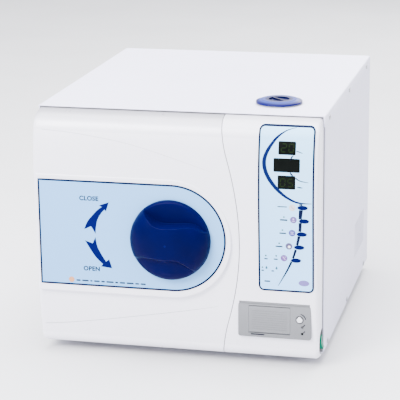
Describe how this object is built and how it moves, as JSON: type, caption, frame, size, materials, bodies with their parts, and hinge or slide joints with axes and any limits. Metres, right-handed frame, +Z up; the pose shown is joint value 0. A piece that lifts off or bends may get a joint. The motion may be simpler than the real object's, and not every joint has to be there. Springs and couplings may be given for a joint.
{
  "type": "benchtop autoclave",
  "caption": "Benchtop steam steriliser with a round chamber, a side-hinged door with a turn-knob lock, control panel, label printer and top water filler.",
  "frame": {"origin": "middle of the footprint on the surface the feet stand on", "axes": "+Z up, the door faces -Y, +X towards the control panel side"},
  "size_m": [0.4513, 0.5901, 0.4009],
  "materials": {
    "painted_sheet": "powder coat",
    "zinc_sheet": "zinc plated",
    "rubber": "matt",
    "screw_steel": "bright",
    "white_moulding": "semi gloss",
    "pale_blue_film": "printed film",
    "dark_window": "gloss",
    "circuit_board": "solder mask",
    "grey_moulding": "satin",
    "paper": "matt paper",
    "chrome": "polished",
    "dark_plastic": "matt",
    "green_plastic": "translucent",
    "stainless": "electropolished",
    "heater_mica": "dull",
    "insulation_foam": "foam",
    "tray_aluminium": "satin",
    "natural_tank": "natural",
    "blue_plastic": "gloss",
    "silicone": "matt",
    "aluminium_fins": "dull",
    "pump_casting": "cast",
    "brass": "machined",
    "copper": "drawn tube",
    "red_plastic": "gloss",
    "arm_casting": "painted casting",
    "navy_plastic": "gloss"
  },
  "bodies": {
    "cabinet": {"base_tray": "painted_sheet", "casing_shell": "painted_sheet", "rear_panel": "painted_sheet", "front_frame": "arm_casting", "feet": "rubber", "casing_screws": "screw_steel", "right_fascia": "white_moulding", "control_label": "pale_blue_film", "display_windows": "dark_window", "control_board": "circuit_board", "printer_housing": "grey_moulding", "printer_lamp": "dark_window", "switch_housing": "dark_plastic", "chamber_flange": "stainless", "chamber_vessel": "stainless", "heater_bands": "heater_mica", "insulation_jacket": "insulation_foam", "chamber_cradles": "zinc_sheet", "tray_rack": "stainless", "trays": "tray_aluminium", "water_tank": "natural_tank", "condenser_core": "aluminium_fins", "fan_frame": "dark_plastic", "vacuum_pump": "pump_casting", "solenoid_valves": "brass", "steam_pipes": "copper", "safety_valve": "brass", "power_inlet": "dark_plastic", "drain_valves": "brass", "hinge_brackets": "zinc_sheet", "hinge_pins": "screw_steel", "lock_strikers": "screw_steel"},
    "door": {"door_cover": "white_moulding", "door_label": "pale_blue_film", "door_arm": "arm_casting"},
    "door_knob": {"knob": "navy_plastic", "spindle": "screw_steel"},
    "upper_bolt": {"lock_bolt_upper": "screw_steel"},
    "lower_bolt": {"lock_bolt_lower": "screw_steel"},
    "pressure_plate": {"door_plate": "stainless", "door_gasket": "silicone"},
    "printer_lid": {"printer_door": "grey_moulding"},
    "platen": {"platen_roller": "rubber"},
    "paper": {"paper_roll": "paper"},
    "release_key": {"release_button": "chrome"},
    "feed_key": {"feed_button": "dark_plastic"},
    "rocker": {"power_rocker": "green_plastic"},
    "filler_plug": {"cap_plug": "blue_plastic", "cap_gasket": "silicone"},
    "filler_cap": {"tank_cap": "blue_plastic"},
    "fan": {"fan_rotor": "dark_plastic"},
    "relief_ring": {"pull_ring": "chrome"},
    "fuse_tray": {"fuse_drawer": "dark_plastic"},
    "clean_tap": {"drain_tap_clean": "blue_plastic"},
    "waste_tap": {"drain_tap_waste": "red_plastic"},
    "panel_key_1": {"key_1": "navy_plastic"},
    "panel_key_2": {"key_2": "navy_plastic"},
    "panel_key_3": {"key_3": "navy_plastic"},
    "panel_key_4": {"key_4": "navy_plastic"},
    "panel_key_5": {"key_5": "navy_plastic"}
  },
  "joints": [
    {"name": "door_swing", "type": "hinge", "parent": "cabinet", "child": "door", "pos_m": [-0.211, -0.225, 0.2015], "axis": [0, 0, -1], "range_deg": [0, 92]},
    {"name": "knob_turn", "type": "hinge", "parent": "door", "child": "door_knob", "pos_m": [-0.005, -0.271, 0.2015], "axis": [0, 1, 0], "range_deg": [0, 90]},
    {"name": "upper_bolt_slide", "type": "slide", "parent": "door", "child": "upper_bolt", "axis": [0, 0, 1], "range_m": [0, 0.012]},
    {"name": "lower_bolt_slide", "type": "slide", "parent": "door", "child": "lower_bolt", "axis": [0, 0, -1], "range_m": [0, 0.012]},
    {"name": "pressure_plate_slide", "type": "slide", "parent": "door", "child": "pressure_plate", "axis": [0, 1, 0], "range_m": [0, 0.003]},
    {"name": "printer_door_swing", "type": "hinge", "parent": "cabinet", "child": "printer_lid", "pos_m": [0.146, -0.247, 0.06], "axis": [1, 0, 0], "range_deg": [0, 92]},
    {"name": "platen_spin", "type": "hinge", "parent": "printer_lid", "child": "platen", "pos_m": [0.146, -0.237, 0.095], "axis": [1, 0, 0], "continuous": true},
    {"name": "paper_roll_spin", "type": "hinge", "parent": "cabinet", "child": "paper", "pos_m": [0.146, -0.191, 0.082], "axis": [1, 0, 0], "continuous": true},
    {"name": "release_press", "type": "slide", "parent": "cabinet", "child": "release_key", "axis": [0, 1, 0], "range_m": [0, 0.0012], "stiffness_N_per_m": 300, "springref_m": -0.001},
    {"name": "feed_press", "type": "slide", "parent": "cabinet", "child": "feed_key", "axis": [0, 1, 0], "range_m": [0, 0.0006], "stiffness_N_per_m": 300, "springref_m": -0.001},
    {"name": "rocker_tilt", "type": "hinge", "parent": "cabinet", "child": "rocker", "pos_m": [0.217, -0.2206, 0.039], "axis": [0, 1, 0], "range_deg": [0, 16]},
    {"name": "filler_plug_lift", "type": "slide", "parent": "cabinet", "child": "filler_plug", "axis": [0, 0, 1], "range_m": [0, 0.045]},
    {"name": "filler_cap_turn", "type": "hinge", "parent": "filler_plug", "child": "filler_cap", "pos_m": [0.14, -0.139, 0.396], "axis": [0, 0, 1], "range_deg": [0, 90]},
    {"name": "fan_spin", "type": "hinge", "parent": "cabinet", "child": "fan", "pos_m": [-0.12, 0.254, 0.29], "axis": [0, 1, 0], "continuous": true},
    {"name": "relief_ring_pull", "type": "slide", "parent": "cabinet", "child": "relief_ring", "axis": [0, 1, 0], "range_m": [0, 0.004], "stiffness_N_per_m": 800, "springref_m": -0.002},
    {"name": "fuse_tray_slide", "type": "slide", "parent": "cabinet", "child": "fuse_tray", "axis": [0, 1, 0], "range_m": [0, 0.028]},
    {"name": "clean_tap_turn", "type": "hinge", "parent": "cabinet", "child": "clean_tap", "pos_m": [-0.08, 0.282, 0.066], "axis": [0, 0, 1], "range_deg": [0, 90]},
    {"name": "waste_tap_turn", "type": "hinge", "parent": "cabinet", "child": "waste_tap", "pos_m": [-0.152, 0.282, 0.066], "axis": [0, 0, 1], "range_deg": [0, 90]},
    {"name": "panel_key_1_press", "type": "slide", "parent": "cabinet", "child": "panel_key_1", "axis": [0, 1, 0], "range_m": [0, 0.0008], "stiffness_N_per_m": 300, "springref_m": -0.001},
    {"name": "panel_key_2_press", "type": "slide", "parent": "cabinet", "child": "panel_key_2", "axis": [0, 1, 0], "range_m": [0, 0.0008], "stiffness_N_per_m": 300, "springref_m": -0.001},
    {"name": "panel_key_3_press", "type": "slide", "parent": "cabinet", "child": "panel_key_3", "axis": [0, 1, 0], "range_m": [0, 0.0008], "stiffness_N_per_m": 300, "springref_m": -0.001},
    {"name": "panel_key_4_press", "type": "slide", "parent": "cabinet", "child": "panel_key_4", "axis": [0, 1, 0], "range_m": [0, 0.0008], "stiffness_N_per_m": 300, "springref_m": -0.001},
    {"name": "panel_key_5_press", "type": "slide", "parent": "cabinet", "child": "panel_key_5", "axis": [0, 1, 0], "range_m": [0, 0.0008], "stiffness_N_per_m": 300, "springref_m": -0.001}
  ],
  "couplings": [
    {"joint": "upper_bolt_slide", "follows": "knob_turn", "m_per_rad": 0.0076394},
    {"joint": "lower_bolt_slide", "follows": "knob_turn", "m_per_rad": 0.0076394},
    {"joint": "pressure_plate_slide", "follows": "knob_turn", "m_per_rad": 0.0019099}
  ]
}
